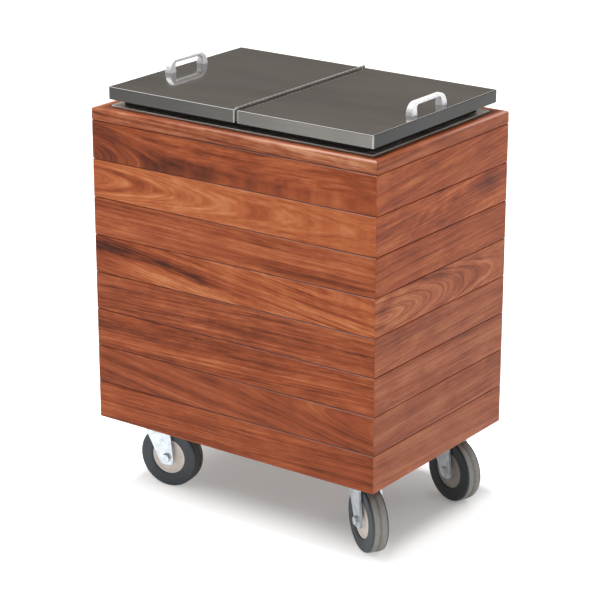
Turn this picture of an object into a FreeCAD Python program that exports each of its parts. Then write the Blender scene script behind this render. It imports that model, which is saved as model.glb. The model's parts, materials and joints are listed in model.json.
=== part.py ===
import FreeCAD
import Part
import math
import os

from FreeCAD import Vector

# Mobile ice cart: a plank-clad wooden box on swivel casters, with an insulated steel ice bin
# let into its top and two steel lids that share one centre hinge.
# Millimetres. Origin on the floor under the middle of the box, +X to the right along the front,
# +Y to the back, +Z up. The rest pose has the lids shut and the casters turned as parked.

# Wooden box
box_width = 712.0
box_depth = 483.0
board_height = 82.375
board_thickness = 20.0
course_count = 8
seam_bevel = 2.0
corner_bevel = 1.0
rail_height = 27.0
rail_overhang = 2.0
rail_edge_radius = 4.0
post_size = 38.0
base_thickness = 18.0
base_recess = 19.0

# Ice bin, its foam jacket and the lid seal
bin_clearance = 3.0
bin_wall = 1.5
bin_corner_radius = 25.0
bin_foot_radius = 16.0
floor_foam = 40.0
foam_clearance = 0.3
flange_inset = 28.0
flange_thickness = 3.0
flange_corner_radius = 6.0
flange_edge_radius = 1.2
coaming_height = 10.0
seal_width = 17.0
seal_height = 14.5
seal_corner_radius = 12.0
seal_clearance = 0.1

# Lids, which hang a little to the right of the box's middle
lid_offset = 4.5
lid_setback = 2.5
lid_side_margin = 27.0
lid_end_margin = 17.0
lid_height = 26.6
lid_sheet = 1.2
lid_edge_radius = 2.0
lid_gap = 7.0
lid_seat_gap = 0.3
liner_sheet = 1.0
liner_clearance = 0.3

# Centre hinge
leaf_sheet = 1.2
leaf_foot = 3.0
knuckle_pairs = 32
knuckle_gap = 0.3
knuckle_radius = 3.0
pin_radius = 1.5
pin_clearance = 0.05
pin_rise = 2.2

# Lid handles
handle_length = 124.0
handle_height = 26.5
handle_foot_width = 19.0
handle_crest_width = 12.5
handle_leg = 17.0
handle_bar = 7.0
handle_outer_radius = 20.0
handle_inner_radius = 8.0
handle_edge_radius = 2.4
handle_setback = 26.0
screw_radius = 3.0
screw_depth = 12.0
screw_head_radius = 5.5
screw_head = 3.5
screw_clearance = 0.1
screw_pocket = 1.0

# Casters
wheel_diameter = 138.0
tyre_width = 36.0
tyre_bead_width = 30.0
tread_shoulder_radius = 5.0
tread_groove_width = 9.0
tread_groove_floor = 3.0
tread_groove_depth = 1.6
rim_radius = 39.0
rim_lip = 3.5
web_recess = 1.5
hub_radius = 13.0
axle_radius = 5.0
running_clearance = 0.05
fit_clearance = 0.05
hub_end_play = 0.5
hub_overhang = 2.0
trail = 38.0
caster_inset = 86.0
fork_sheet = 3.0
fork_bend_radius = 5.0
fork_strip_half_width = 16.0
fork_strip_step = 2.0
fork_toe_radius = 10.0
fork_rake = 6.0
fork_brow = 32.0
crown_sheet = 3.5
crown_nose = 34.0
tyre_headroom = 18.1
plate_length = 92.0
plate_width = 64.0
plate_sheet = 3.0
plate_corner_radius = 8.0
plate_hole_pitch_x = 73.0
plate_hole_pitch_y = 45.0
plate_hole_radius = 4.4
race_outer_radius = 29.0
race_inner_radius = 20.0
race_height = 9.0
swivel_gap = 0.3
kingpin_radius = 6.0
kingpin_head_radius = 13.0
kingpin_head = 5.0
kingpin_rivet_radius = 9.5
kingpin_rivet = 1.5
coach_screw_radius = 4.0
coach_screw_bite = 13.0
coach_head_flats = 13.0
coach_head = 5.3
axle_head_flats = 17.0
axle_head = 6.4
axle_nut = 8.0
axle_thread_end = 2.0

# Heading of each caster from its kingpin to its axle, in degrees from +X towards +Y
caster_headings = {
    "front_left": 8.6,
    "front_right": -33.3,
    "rear_right": -18.8,
    "rear_left": 168.4,
}
caster_sides = {
    "front_left": (-1, -1),
    "front_right": (1, -1),
    "rear_right": (1, 1),
    "rear_left": (-1, 1),
}

# Drain
drain_back = 60.0
strainer_radius = 28.0
strainer_sheet = 2.5
drain_tube_radius = 17.0
drain_bore_radius = 12.0
drain_clearance = 0.3
drain_tail = 22.0
drain_nut_flats = 46.0
drain_nut_height = 8.0
valve_socket_flats = 42.0
valve_socket_depth = 12.0
valve_socket_floor = 4.0
valve_body_radius = 17.0
valve_body_length = 30.0
valve_boss_radius = 8.0
valve_boss_length = 25.0
spigot_radius = 9.5
spigot_length = 24.0
spigot_bore_radius = 7.0
stem_radius = 4.0
stem_depth = 12.0
stem_stand_off = 1.0
lever_sheet = 2.5
lever_length = 78.0
lever_width = 15.0
lever_crank = 9.0
lever_end_radius = 7.0
stem_nut_flats = 11.0
stem_nut_height = 5.0

# How close two positions must be to count as one when an edge is picked out
pick_tolerance = 0.001

# Levels worked out from the sizes above
wheel_radius = wheel_diameter / 2
kingpin_foot = wheel_diameter + tyre_headroom
crown_under = kingpin_foot + kingpin_head + swivel_gap
crown_top = crown_under + crown_sheet
race_foot = crown_top + swivel_gap
plate_under = race_foot + race_height
base_foot = plate_under + plate_sheet
box_foot = base_foot - base_recess
base_top = base_foot + base_thickness
rail_foot = box_foot + course_count * board_height
box_top = rail_foot + rail_height
flange_top = box_top + flange_thickness
seal_top = flange_top + seal_height
lid_foot = seal_top + lid_seat_gap
lid_top = lid_foot + lid_height
pin_level = lid_top + pin_rise
bin_foot = base_top + floor_foam
well_floor = bin_foot + bin_wall
tail_end = base_foot - drain_tail
socket_foot = tail_end - valve_socket_floor
valve_foot = socket_foot - valve_body_length
stem_level = valve_foot + valve_body_length / 2
lever_face = -valve_boss_length - stem_stand_off
lever_back = lever_face - lever_sheet

# Plan sizes worked out from the sizes above
rail_width = board_thickness + post_size + rail_overhang
inner_width = box_width - 2 * board_thickness
inner_depth = box_depth - 2 * board_thickness
bin_width = box_width - 2 * (rail_width + bin_clearance)
bin_depth = box_depth - 2 * (rail_width + bin_clearance)
lid_reach = box_width / 2 - lid_side_margin
lid_depth = box_depth - 2 * lid_end_margin
leg_inside = tyre_width / 2 + hub_overhang + hub_end_play
leg_outside = leg_inside + fork_sheet
strip_outside = leg_outside + fork_strip_step


def block(x0, x1, y0, y1, z0, z1):
    return Part.makeBox(x1 - x0, y1 - y0, z1 - z0, Vector(x0, y0, z0))


def slab(width, depth, z0, z1):
    return block(-width / 2, width / 2, -depth / 2, depth / 2, z0, z1)


def rod(radius, z0, z1, x=0.0, y=0.0):
    return Part.makeCylinder(radius, z1 - z0, Vector(x, y, z0))


def cross_rod(radius, y0, y1, x, z):
    return Part.makeCylinder(radius, y1 - y0, Vector(x, y0, z), Vector(0, 1, 0))


def upright_edges(shape):
    return [e for e in shape.Edges if e.BoundBox.ZLength > e.BoundBox.XLength + e.BoundBox.YLength]


def level_edges(shape, z):
    return [e for e in shape.Edges if abs(e.BoundBox.ZMin - z) + abs(e.BoundBox.ZMax - z) < pick_tolerance]


def lengthwise_edges(shape, z):
    return [e for e in level_edges(shape, z) if e.BoundBox.XLength > e.BoundBox.YLength]


def crosswise_edges(shape, z):
    return [e for e in level_edges(shape, z) if e.BoundBox.YLength > e.BoundBox.XLength]


def rounded_slab(width, depth, z0, z1, radius):
    plain = slab(width, depth, z0, z1)
    return plain.makeFillet(radius, upright_edges(plain))


def polygon_prism(points, along):
    return Part.Face(Part.makePolygon(points + points[:1])).extrude(along)


def hexagon(flats, z0, z1):
    sides = 6
    reach = flats / 2 / math.cos(math.pi / sides)
    angles = [2 * math.pi * i / sides for i in range(sides)]
    corners = [Vector(reach * math.cos(a), reach * math.sin(a), z0) for a in angles]
    return polygon_prism(corners, Vector(0, 0, z1 - z0))


def turned(shape, degrees):
    copy = shape.copy()
    copy.rotate(Vector(0, 0, 0), Vector(0, 0, 1), degrees)
    return copy


def moved(shape, x, y, z=0.0):
    copy = shape.copy()
    copy.translate(Vector(x, y, z))
    return copy


def mirrored_x(shape):
    return shape.mirror(Vector(0, 0, 0), Vector(1, 0, 0))


def union(first, *others):
    return first.multiFuse(list(others)).removeSplitter()


def save(node, *solids):
    shape = solids[0] if len(solids) == 1 else Part.makeCompound(solids)
    shape.exportStep("parts/" + node + ".step")


# Mitred timber: a length that lies along X on the -Y side, cut at 45 degrees at both ends.
# The mitre's outer arris is eased by the corner bevel.
def mitre_trim(length, half_span, width, z0, z1):
    end = length / 2
    face = -half_span
    ease = corner_bevel / 2
    points = [
        (-end + corner_bevel, face),
        (end - corner_bevel, face),
        (end - ease, face + ease),
        (end - width, face + width),
        (-end + width, face + width),
        (-end + ease, face + ease),
    ]
    return polygon_prism([Vector(x, y, z0) for x, y in points], Vector(0, 0, z1 - z0))


def board(length, half_span, z0):
    z1 = z0 + board_height
    back = -half_span + board_thickness
    bevel = -half_span + seam_bevel
    section = [
        (back, z0),
        (bevel, z0),
        (-half_span, z0 + seam_bevel),
        (-half_span, z1 - seam_bevel),
        (bevel, z1),
        (back, z1),
    ]
    stick = polygon_prism([Vector(-length / 2, y, z) for y, z in section], Vector(length, 0, 0))
    return stick.common(mitre_trim(length, half_span, board_thickness, z0, z1))


def rail(length, half_span):
    back = -half_span + rail_width
    section = [
        (back, rail_foot),
        (-half_span + seam_bevel, rail_foot),
        (-half_span, rail_foot + seam_bevel),
        (-half_span, box_top),
        (back, box_top),
    ]
    stick = polygon_prism([Vector(-length / 2, y, z) for y, z in section], Vector(length, 0, 0))
    top_edges = lengthwise_edges(stick, box_top)
    arris = [e for e in top_edges if abs(e.BoundBox.YMax + half_span) < pick_tolerance]
    rounded = stick.makeFillet(rail_edge_radius, arris)
    return rounded.common(mitre_trim(length, half_span, rail_width, rail_foot, box_top))


def timber_sides():
    return {
        "front": (box_width, box_depth / 2, 0),
        "right": (box_depth, box_width / 2, 90),
        "back": (box_width, box_depth / 2, 180),
        "left": (box_depth, box_width / 2, 270),
    }


def make_cladding():
    rails = []
    for side, (length, half_span, angle) in timber_sides().items():
        courses = [board(length, half_span, box_foot + i * board_height) for i in range(course_count)]
        save(side + "_boards", *[turned(b, angle) for b in courses])
        rails.append(turned(rail(length, half_span), angle))
    save("top_frame", *rails)


def make_posts():
    x = inner_width / 2
    y = inner_depth / 2
    post = block(x - post_size, x, y - post_size, y, base_top, rail_foot)
    back_left = mirrored_x(post)
    save("corner_posts", post, back_left, turned(post, 180), turned(back_left, 180))


def make_base():
    panel = slab(inner_width, inner_depth, base_foot, base_top)
    bores = [rod(drain_tube_radius + drain_clearance, base_foot, base_top, 0, drain_back)]
    bite = coach_screw_bite + fit_clearance
    for x, y in caster_places().values():
        for px, py in plate_stations():
            bores.append(rod(coach_screw_radius + fit_clearance, base_foot, base_foot + bite, x + px, y + py))
    save("base_panel", panel.cut(bores))


# The bin's wall runs up past the flange as a coaming, which carries the lid seal.
def make_bin():
    rim = flange_top + coaming_height
    outside = rounded_slab(bin_width, bin_depth, bin_foot, rim, bin_corner_radius)
    outside = outside.makeFillet(bin_foot_radius, level_edges(outside, bin_foot))
    well = rounded_slab(
        bin_width - 2 * bin_wall, bin_depth - 2 * bin_wall, well_floor, rim, bin_corner_radius - bin_wall
    )
    well = well.makeFillet(bin_foot_radius - bin_wall, level_edges(well, well_floor))
    flange = rounded_slab(
        box_width - 2 * flange_inset, box_depth - 2 * flange_inset, box_top, flange_top, flange_corner_radius
    )
    flange = flange.makeFillet(flange_edge_radius, level_edges(flange, flange_top))
    drain = rod(drain_tube_radius + drain_clearance, bin_foot, well_floor, 0, drain_back)
    save("ice_bin", union(outside, flange).cut(well).cut(drain))


def make_foam():
    jacket = slab(
        inner_width - 2 * foam_clearance,
        inner_depth - 2 * foam_clearance,
        base_top + foam_clearance,
        rail_foot - foam_clearance,
    )
    pocket = slab(
        bin_width + 2 * foam_clearance,
        bin_depth + 2 * foam_clearance,
        bin_foot - foam_clearance,
        rail_foot,
    )
    corner = post_size + foam_clearance
    x = inner_width / 2
    y = inner_depth / 2
    notch = block(x - corner, x, y - corner, y, base_top, rail_foot)
    far_notch = mirrored_x(notch)
    drain = rod(drain_tube_radius + drain_clearance, base_top, bin_foot, 0, drain_back)
    cuts = [pocket, notch, far_notch, turned(notch, 180), turned(far_notch, 180), drain]
    save("bin_foam", jacket.cut(cuts))


def make_seal():
    grip = seal_clearance
    outside = rounded_slab(
        bin_width + 2 * seal_width,
        bin_depth + 2 * seal_width,
        flange_top,
        seal_top,
        seal_corner_radius,
    )
    slot = rounded_slab(
        bin_width + 2 * grip,
        bin_depth + 2 * grip,
        flange_top,
        flange_top + coaming_height + grip,
        bin_corner_radius + grip,
    )
    mouth = rounded_slab(
        bin_width - 2 * bin_wall,
        bin_depth - 2 * bin_wall,
        flange_top,
        seal_top,
        bin_corner_radius - bin_wall,
    )
    save("lid_seal", outside.cut(slot).cut(mouth))


# Lids are worked out for the right-hand side and mirrored for the left.
def lid_pan():
    inner_edge = lid_gap / 2
    half_depth = lid_depth / 2
    blank = block(inner_edge, lid_reach, -half_depth, half_depth, lid_foot, lid_top)
    blank = blank.makeFillet(lid_edge_radius, upright_edges(blank) + level_edges(blank, lid_top))
    hollow = block(
        inner_edge + lid_sheet,
        lid_reach - lid_sheet,
        -half_depth + lid_sheet,
        half_depth - lid_sheet,
        lid_foot,
        lid_top - lid_sheet,
    )
    bore = screw_radius + screw_clearance
    holes = [rod(bore, lid_foot, lid_top, handle_middle(), y) for y in screw_stations()]
    return blank.cut([hollow] + holes)


def lid_filling(z0, z1):
    gap = lid_sheet + liner_clearance
    return block(
        lid_gap / 2 + gap, lid_reach - gap, -lid_depth / 2 + gap, lid_depth / 2 - gap, z0, z1
    )


def lid_core():
    roof = lid_top - lid_sheet - liner_clearance
    depth = screw_head + screw_pocket
    radius = screw_head_radius + screw_pocket
    pockets = [rod(radius, roof - depth, roof, handle_middle(), y) for y in screw_stations()]
    return lid_filling(lid_foot + liner_sheet + liner_clearance, roof).cut(pockets)


def handle_middle():
    return lid_reach - handle_setback


def screw_stations():
    reach = handle_length / 2 - handle_leg / 2
    return (-reach, reach)


# A cast bow pull: two legs and a bar in one outline, narrowing from its feet to its crest.
def handle():
    half = handle_length / 2
    top = lid_top + handle_height
    middle = handle_middle()
    foot = handle_foot_width / 2
    crest = handle_crest_width / 2
    section = [(middle - foot, lid_top), (middle + foot, lid_top), (middle + crest, top), (middle - crest, top)]
    bow = polygon_prism([Vector(x, -half, z) for x, z in section], Vector(0, handle_length, 0))
    bow = bow.makeFillet(handle_outer_radius, lengthwise_edges(bow, top))
    under = top - handle_bar
    grip = block(middle - foot, middle + foot, -half + handle_leg, half - handle_leg, lid_top, under)
    grip = grip.makeFillet(handle_inner_radius, lengthwise_edges(grip, under))
    bow = bow.cut(grip)
    cheeks = [f for f in bow.Faces if f.BoundBox.XLength < foot]
    rims = [e for f in cheeks for e in f.Edges if e.BoundBox.ZMax > lid_top + pick_tolerance]
    bow = bow.makeFillet(handle_edge_radius, rims)
    taps = [
        rod(screw_radius + screw_clearance, lid_top, lid_top + screw_depth + screw_pocket, handle_middle(), y)
        for y in screw_stations()
    ]
    return bow.cut(taps)


def handle_screws():
    seat = lid_top - lid_sheet
    screws = []
    for y in screw_stations():
        head = rod(screw_head_radius, seat - screw_head, seat, handle_middle(), y)
        shank = rod(screw_radius, seat, lid_top + screw_depth, handle_middle(), y)
        screws.append(union(head, shank))
    return screws


# A continuous hinge: each leaf stands in the gap between the lids, against its own lid's skirt,
# and its knuckles take every other place along the pin.
def hinge_leaf(first):
    half_depth = lid_depth / 2
    place = lid_depth / (2 * knuckle_pairs)
    outer = lid_gap / 2
    inner = outer - leaf_sheet
    bay_foot = pin_level - knuckle_radius - leaf_sheet
    pieces = []
    for i in range(first, 2 * knuckle_pairs, 2):
        y0 = -half_depth + i * place + knuckle_gap / 2
        y1 = y0 + place - knuckle_gap
        pieces.append(block(inner, outer, y0, y1, bay_foot, pin_level))
        pieces.append(cross_rod(knuckle_radius, y0, y1, 0, pin_level))
    blade = block(inner, outer, -half_depth, half_depth, lid_foot + leaf_foot, bay_foot)
    bore = cross_rod(pin_radius + pin_clearance, -half_depth, half_depth, 0, pin_level)
    shoulder = block(knuckle_radius, outer, -half_depth, half_depth, lid_top - lid_edge_radius, pin_level)
    return union(blade, *pieces).cut([bore, shoulder])


def make_lids():
    liner = lid_filling(lid_foot, lid_foot + liner_sheet)
    right = {
        "lid_pan": [lid_pan()],
        "lid_core": [lid_core()],
        "lid_liner": [liner],
        "handle": [handle()],
        "handle_screws": handle_screws(),
    }
    for name, solids in right.items():
        save("right_" + name, *[moved(s, lid_offset, lid_setback) for s in solids])
        save("left_" + name, *[moved(mirrored_x(s), lid_offset, lid_setback) for s in solids])
    save("right_hinge_leaf", moved(hinge_leaf(1), lid_offset, lid_setback))
    save("left_hinge_leaf", moved(mirrored_x(hinge_leaf(0)), lid_offset, lid_setback))
    pin = cross_rod(pin_radius, -lid_depth / 2, lid_depth / 2, 0, pin_level)
    save("hinge_pin", moved(pin, lid_offset, lid_setback))


# Casters are worked out with the kingpin over the origin and the wheel trailing towards +X.
def wheel_turning(half_profile):
    outline = [Vector(trail, v, wheel_radius + r) for v, r in half_profile]
    outline += [Vector(trail, -v, wheel_radius + r) for v, r in reversed(half_profile)]
    face = Part.Face(Part.makePolygon(outline + outline[:1]))
    return face.revolve(Vector(trail, 0, wheel_radius), Vector(0, 1, 0), 360)


def tyre():
    side = tyre_width / 2
    bead = tyre_bead_width / 2
    seat = rim_radius + fit_clearance
    band = wheel_turning(
        [
            (bead, seat),
            (side, seat + side - bead),
            (side, wheel_radius),
            (tread_groove_width / 2, wheel_radius),
            (tread_groove_floor / 2, wheel_radius - tread_groove_depth),
        ]
    )
    rounds = [e for e in band.Edges if abs(e.BoundBox.ZLength - wheel_diameter) < pick_tolerance]
    shoulders = [e for e in rounds if abs(abs(e.CenterOfMass.y) - side) < pick_tolerance]
    return band.makeFillet(tread_shoulder_radius, shoulders)


def wheel_hub():
    bead = tyre_bead_width / 2
    boss = tyre_width / 2 + hub_overhang
    web = bead - web_recess
    return wheel_turning(
        [
            (boss, axle_radius + running_clearance),
            (boss, hub_radius),
            (web, hub_radius + web_recess),
            (web, rim_radius - rim_lip),
            (bead, rim_radius - rim_lip + web_recess),
            (bead, rim_radius),
        ]
    )


# The fork is a folded sheet: a bridge under the race and two raked legs, each with a
# joggled strip that carries the axle. The strip leans forward towards its top.
def strip_edge(offset, z):
    return trail + offset - (z - wheel_radius) * math.tan(math.radians(fork_rake))


def fork():
    half = fork_strip_half_width
    toe = wheel_radius - half
    heel = strip_edge(half, toe)
    legs = block(-crown_nose, heel, -leg_outside, leg_outside, toe, crown_top)
    legs = legs.makeFillet(fork_bend_radius, lengthwise_edges(legs, crown_top))
    span = block(-crown_nose, heel, -leg_inside, leg_inside, toe, crown_under)
    shell = legs.cut(span)
    outline = [
        (-crown_nose, crown_under),
        (-crown_nose, crown_top),
        (strip_edge(half, crown_top), crown_top),
        (heel, toe),
        (strip_edge(-half, toe), toe),
        (-fork_brow, crown_under),
    ]
    side = polygon_prism([Vector(u, -strip_outside, z) for u, z in outline], Vector(0, 2 * strip_outside, 0))
    side = side.makeFillet(fork_toe_radius, crosswise_edges(side, toe))
    nose = rod(crown_nose, toe, crown_top).fuse(block(0, heel, -crown_nose, crown_nose, toe, crown_top))
    body = shell.common(side).common(nose)
    strip_top = crown_top - fork_bend_radius
    edges = [(-half, strip_top), (half, strip_top), (half, toe), (-half, toe)]
    corners = [Vector(strip_edge(offset, z), leg_outside, z) for offset, z in edges]
    strip = polygon_prism(corners, Vector(0, fork_strip_step, 0))
    strip = strip.makeFillet(fork_toe_radius, crosswise_edges(strip, toe))
    far_strip = strip.mirror(Vector(0, 0, 0), Vector(0, 1, 0))
    axle = cross_rod(axle_radius + fit_clearance, -strip_outside, strip_outside, trail, wheel_radius)
    pin = rod(kingpin_radius + running_clearance, crown_under, crown_top)
    return union(body, strip, far_strip).cut([axle, pin])


def lying_hexagon(flats, y0, y1):
    nut = hexagon(flats, y0, y1)
    nut.rotate(Vector(0, 0, 0), Vector(1, 0, 0), -90)
    return moved(nut, trail, 0, wheel_radius)


def axle_set():
    head = lying_hexagon(axle_head_flats, -strip_outside - axle_head, -strip_outside)
    end = strip_outside + axle_nut + axle_thread_end
    bolt = union(head, cross_rod(axle_radius, -strip_outside, end, trail, wheel_radius))
    nut = lying_hexagon(axle_head_flats, strip_outside, strip_outside + axle_nut)
    bore = cross_rod(axle_radius + fit_clearance, strip_outside, end, trail, wheel_radius)
    return [bolt, nut.cut(bore)]


def caster_places():
    reach_x = box_width / 2 - caster_inset
    reach_y = box_depth / 2 - caster_inset
    return {corner: (x * reach_x, y * reach_y) for corner, (x, y) in caster_sides.items()}


def plate_stations():
    x = plate_hole_pitch_x / 2
    y = plate_hole_pitch_y / 2
    return [(-x, -y), (x, -y), (x, y), (-x, y)]


def top_plate():
    plate = rounded_slab(plate_length, plate_width, plate_under, base_foot, plate_corner_radius)
    holes = [rod(plate_hole_radius, plate_under, base_foot, x, y) for x, y in plate_stations()]
    shank = rod(kingpin_radius + fit_clearance, plate_under, base_foot)
    rivet = rod(kingpin_rivet_radius + fit_clearance, base_foot - kingpin_rivet, base_foot)
    return plate.cut(holes + [shank, rivet])


def kingpin():
    head = rod(kingpin_head_radius, kingpin_foot, kingpin_foot + kingpin_head)
    shank = rod(kingpin_radius, kingpin_foot + kingpin_head, base_foot)
    rivet = rod(kingpin_rivet_radius, base_foot - kingpin_rivet, base_foot)
    return union(head, shank, rivet)


def race():
    ring = rod(race_outer_radius, race_foot, plate_under)
    return ring.cut(rod(race_inner_radius, race_foot, plate_under))


def coach_screws():
    screws = []
    for x, y in plate_stations():
        head = moved(hexagon(coach_head_flats, plate_under - coach_head, plate_under), x, y)
        shank = rod(coach_screw_radius, plate_under, base_foot + coach_screw_bite, x, y)
        screws.append(union(head, shank))
    return screws


def make_casters():
    fixed = {"plate": top_plate(), "race": race(), "kingpin": kingpin()}
    swivelling = {"fork": [fork()], "axle": axle_set(), "hub": [wheel_hub()], "tyre": [tyre()]}
    screws = []
    for corner, (x, y) in caster_places().items():
        for name, solid in fixed.items():
            save(corner + "_" + name, moved(solid, x, y))
        for name, solids in swivelling.items():
            parked = [turned(s, caster_headings[corner]) for s in solids]
            save(corner + "_" + name, *[moved(s, x, y) for s in parked])
        screws += [moved(s, x, y) for s in coach_screws()]
    save("caster_screws", *screws)


# Drain: a strainer cup in the bin's floor, its tail through the base, and a quarter-turn valve below.
# Worked out with the tail over the origin.
def drain_cup():
    brim = well_floor + strainer_sheet
    cup = union(rod(strainer_radius, well_floor, brim), rod(drain_tube_radius, tail_end, well_floor))
    return cup.cut(rod(drain_bore_radius, tail_end, brim))


def drain_nut():
    foot = base_foot - drain_nut_height
    nut = hexagon(drain_nut_flats, foot, base_foot)
    return nut.cut(rod(drain_tube_radius + fit_clearance, foot, base_foot))


def valve_body():
    socket_top = tail_end + valve_socket_depth
    spigot_end = valve_foot - spigot_length
    body = union(
        hexagon(valve_socket_flats, socket_foot, socket_top),
        rod(valve_body_radius, valve_foot, socket_foot),
        rod(spigot_radius, spigot_end, valve_foot),
        cross_rod(valve_boss_radius, -valve_boss_length, 0, 0, stem_level),
    )
    socket = rod(drain_tube_radius + fit_clearance, tail_end, socket_top)
    way = rod(spigot_bore_radius, spigot_end, tail_end)
    stem_end = stem_depth - valve_boss_length
    stem_bore = cross_rod(stem_radius + running_clearance, -valve_boss_length, stem_end, 0, stem_level)
    return body.cut([socket, way, stem_bore])


def valve_stem():
    stem_end = stem_depth - valve_boss_length - running_clearance
    stem = cross_rod(stem_radius, lever_back, stem_end, 0, stem_level)
    nut = hexagon(stem_nut_flats, 0, stem_nut_height)
    nut.rotate(Vector(0, 0, 0), Vector(1, 0, 0), 90)
    return union(stem, moved(nut, 0, lever_back, stem_level))


# The lever is a cranked strap with round ends, lying across the flow when the valve is shut.
def valve_lever():
    eye = lever_width / 2
    hand_face = lever_face - lever_crank
    plan = [
        (-eye, lever_face),
        (-eye, lever_back),
        (eye, lever_back),
        (eye + lever_crank, hand_face - lever_sheet),
        (lever_length, hand_face - lever_sheet),
        (lever_length, hand_face),
        (eye + lever_crank + lever_sheet, hand_face),
        (eye + lever_sheet, lever_face),
    ]
    foot = stem_level - lever_width / 2
    strap = polygon_prism([Vector(x, y, foot) for x, y in plan], Vector(0, 0, lever_width))
    crosswise = [e for e in strap.Edges if e.BoundBox.ZLength < pick_tolerance]
    ends = [e for e in crosswise if e.BoundBox.XLength < pick_tolerance]
    strap = strap.makeFillet(lever_end_radius, ends)
    return strap.cut(cross_rod(stem_radius + fit_clearance, lever_back, lever_face, 0, stem_level))


def make_drain():
    save("drain_cup", moved(drain_cup(), 0, drain_back))
    save("drain_nut", moved(drain_nut(), 0, drain_back))
    save("valve_body", moved(valve_body(), 0, drain_back))
    save("valve_stem", moved(valve_stem(), 0, drain_back))
    save("valve_lever", moved(valve_lever(), 0, drain_back))


os.makedirs("parts", exist_ok=True)
make_cladding()
make_posts()
make_base()
make_bin()
make_foam()
make_seal()
make_lids()
make_casters()
make_drain()
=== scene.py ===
import json
import math

import bmesh
import bpy
import numpy as np
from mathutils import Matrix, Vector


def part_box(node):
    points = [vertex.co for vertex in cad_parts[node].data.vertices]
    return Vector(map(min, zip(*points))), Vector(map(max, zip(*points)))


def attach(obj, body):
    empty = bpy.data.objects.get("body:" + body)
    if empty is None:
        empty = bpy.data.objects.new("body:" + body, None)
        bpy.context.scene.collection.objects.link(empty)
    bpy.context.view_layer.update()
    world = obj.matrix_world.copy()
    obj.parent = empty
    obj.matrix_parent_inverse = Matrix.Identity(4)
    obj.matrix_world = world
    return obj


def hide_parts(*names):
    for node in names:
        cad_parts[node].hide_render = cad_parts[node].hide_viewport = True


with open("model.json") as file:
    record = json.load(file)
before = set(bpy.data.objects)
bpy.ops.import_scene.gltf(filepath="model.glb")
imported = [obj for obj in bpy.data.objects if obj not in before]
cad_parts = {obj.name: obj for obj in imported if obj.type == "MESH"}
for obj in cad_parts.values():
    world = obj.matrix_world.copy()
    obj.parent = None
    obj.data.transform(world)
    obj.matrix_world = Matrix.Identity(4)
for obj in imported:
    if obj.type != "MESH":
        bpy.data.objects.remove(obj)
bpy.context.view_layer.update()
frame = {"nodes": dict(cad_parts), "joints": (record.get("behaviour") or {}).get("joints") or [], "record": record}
nodes = frame["nodes"]
joints = {j["name"]: j for j in frame["joints"]}


# sRGB hex to linear RGBA, by the standard curve
def linear(hexText):
    rgb = np.array([int(hexText[i:i + 2], 16) for i in (1, 3, 5)]) / 255
    rgb = np.where(rgb <= 0.04045, rgb / 12.92, ((rgb + 0.055) / 1.055) ** 2.4)
    return (*rgb.tolist(), 1.0)


# one node with its settings and its wires: a wire is a socket to link from, or a plain value
def addNode(tree, kind, wires=None, **settings):
    node = tree.nodes.new("ShaderNode" + kind)
    for name, value in settings.items():
        setattr(node, name, value)
    for key, value in (wires or {}).items():
        if isinstance(value, bpy.types.NodeSocket):
            tree.links.new(value, node.inputs[key])
        else:
            node.inputs[key].default_value = value
    return node


# colours along a ramp, as (place, hex) pairs
def fillRamp(ramp, stops):
    while len(ramp.elements) < len(stops):
        ramp.elements.new(0.5)
    for element, (place, hexText) in zip(ramp.elements, stops):
        element.position = place
        element.color = linear(hexText)


# a new material with its node tree and its shader
def newMaterial(name):
    material = bpy.data.materials.new(name)
    material.use_nodes = True
    tree = material.node_tree
    return material, tree, tree.nodes["Principled BSDF"]


# a mesh from whole arrays: points (n, 3), faces as lists, values per point by name
def addPiece(name, points, faces, material, body, replaced, values, sharpAngle):
    mesh = bpy.data.meshes.new(name)
    mesh.from_pydata(points, [], faces)
    for key, array in values.items():
        kind, field = ("FLOAT_VECTOR", "vector") if array.shape[1] == 3 else ("FLOAT_COLOR", "color")
        mesh.attributes.new(key, kind, "POINT").data.foreach_set(field, array.astype(np.float32).ravel())
    work = bmesh.new()
    work.from_mesh(mesh)
    bmesh.ops.recalc_face_normals(work, faces=work.faces)
    work.to_mesh(mesh)
    work.free()
    mesh.shade_smooth()
    mesh.set_sharp_from_angle(angle=math.radians(sharpAngle))
    mesh.materials.append(material)
    piece = bpy.data.objects.new(name, mesh)
    bpy.context.scene.collection.objects.link(piece)
    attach(piece, body)
    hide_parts(*replaced)


# faces of a closed profile of n points carried over m stations, either back to the first one or capped
def tubeFaces(n, m, looped=False):
    i, j = np.meshgrid(np.arange(m if looped else m - 1), np.arange(n), indexing="ij")
    i2, j2 = (i + 1) % m, (j + 1) % n
    faces = np.stack([i * n + j, i * n + j2, i2 * n + j2, i2 * n + j], axis=-1).reshape(-1, 4).tolist()
    if not looped:
        faces += [np.arange(n).tolist(), ((m - 1) * n + np.arange(n)).tolist()]
    return faces


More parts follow.
